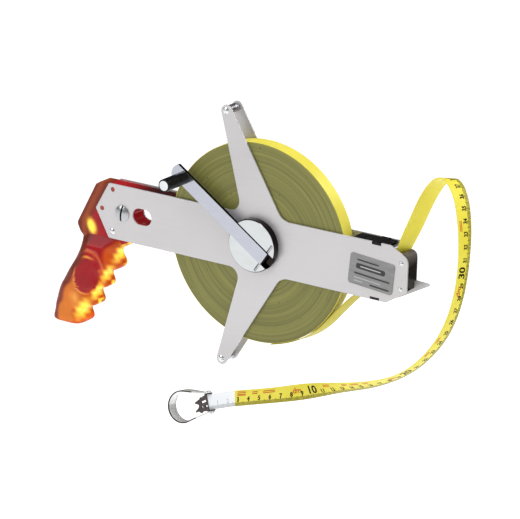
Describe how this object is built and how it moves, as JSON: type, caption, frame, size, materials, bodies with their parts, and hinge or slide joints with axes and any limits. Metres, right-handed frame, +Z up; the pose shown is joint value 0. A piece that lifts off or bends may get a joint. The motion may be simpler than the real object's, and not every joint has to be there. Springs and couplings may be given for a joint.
{
  "type": "surveyor tape reel",
  "caption": "Open-frame surveyor's steel tape reel with a translucent pistol grip, a folding crank, and yellow tape run out to a clamp with a hinged ring.",
  "frame": {"origin": "where the hand closes on the pistol grip, in the middle of its thickness", "axes": "+X from the grip to the tape mouth, parallel to the frame's long arm; +Z up; the crank side is the front, towards -Y, and the reel turns about Y"},
  "size_m": [0.4152, 0.0756, 0.2643],
  "materials": {
    "plate_steel": "satin pressed steel sheet with bright edges",
    "bright_steel": "polished plating",
    "turned_steel": "turned steel, fine machining marks",
    "grip_plastic": "translucent moulded plastic, crimson where thick and amber where thin",
    "black_plastic": "smooth black moulding",
    "knob_plastic": "smooth glossy black",
    "label_foil": "grey foil label with blank bars",
    "brass": "turned, dull",
    "fibre": "hard fibre washer",
    "drum_plastic": "black moulding",
    "tape_edges": "edges of wound coated steel tape, fine concentric lines",
    "tape_yellow": "yellow coated steel tape with printed centimetre and millimetre marks",
    "gunmetal": "dark gunmetal pressed steel"
  },
  "bodies": {
    "frame": {"front_plate": "plate_steel", "rear_plate": "plate_steel", "arm_spacers": "turned_steel", "arm_rivets": "bright_steel", "grip": "grip_plastic", "handle_screw": "bright_steel", "handle_barrel_nut": "bright_steel", "handle_rivet": "bright_steel", "upper_guide": "black_plastic", "mouth_nose": "black_plastic", "mouth_rivets": "bright_steel", "roller_pin": "turned_steel", "name_plate": "label_foil", "front_bush": "brass", "rear_bush": "brass", "hub_washers": "fibre", "tape_lead": "tape_yellow", "free_tape": "tape_yellow", "tape_clamp": "gunmetal", "ring_rivets": "bright_steel"},
    "reel": {"axle": "turned_steel", "drum_hub": "drum_plastic", "tape_anchor": "turned_steel", "tape_coil": "tape_edges", "crank_disc": "bright_steel", "disc_screw": "turned_steel", "fold_pin": "turned_steel", "axle_washer": "turned_steel", "axle_nut": "bright_steel"},
    "crank": {"crank_arm": "bright_steel", "knob_spindle": "bright_steel", "knob_washer": "turned_steel"},
    "knob": {"knob_sleeve": "knob_plastic"},
    "roller": {"guide_roller": "turned_steel"},
    "ring": {"end_ring": "bright_steel"}
  },
  "joints": [
    {"name": "reel_spin", "type": "hinge", "parent": "frame", "child": "reel", "pos_m": [0.178, 0, 0.062], "axis": [0, -1, 0], "continuous": true},
    {"name": "crank_fold", "type": "hinge", "parent": "reel", "child": "crank", "pos_m": [0.18994, -0.0143, 0.05395], "axis": [0.5592, 0, 0.829], "range_deg": [0, 180]},
    {"name": "knob_spin", "type": "hinge", "parent": "crank", "child": "knob", "pos_m": [0.11035, -0.0303, 0.10763], "axis": [0, -1, 0], "continuous": true},
    {"name": "roller_spin", "type": "hinge", "parent": "frame", "child": "roller", "pos_m": [0.3042, 0, 0.0809], "axis": [0, -1, 0], "continuous": true},
    {"name": "ring_swing", "type": "hinge", "parent": "frame", "child": "ring", "pos_m": [0.16306, -0.04982, -0.06725], "axis": [-0.3514, 0.178, 0.9192], "range_deg": [-135, 135]}
  ]
}
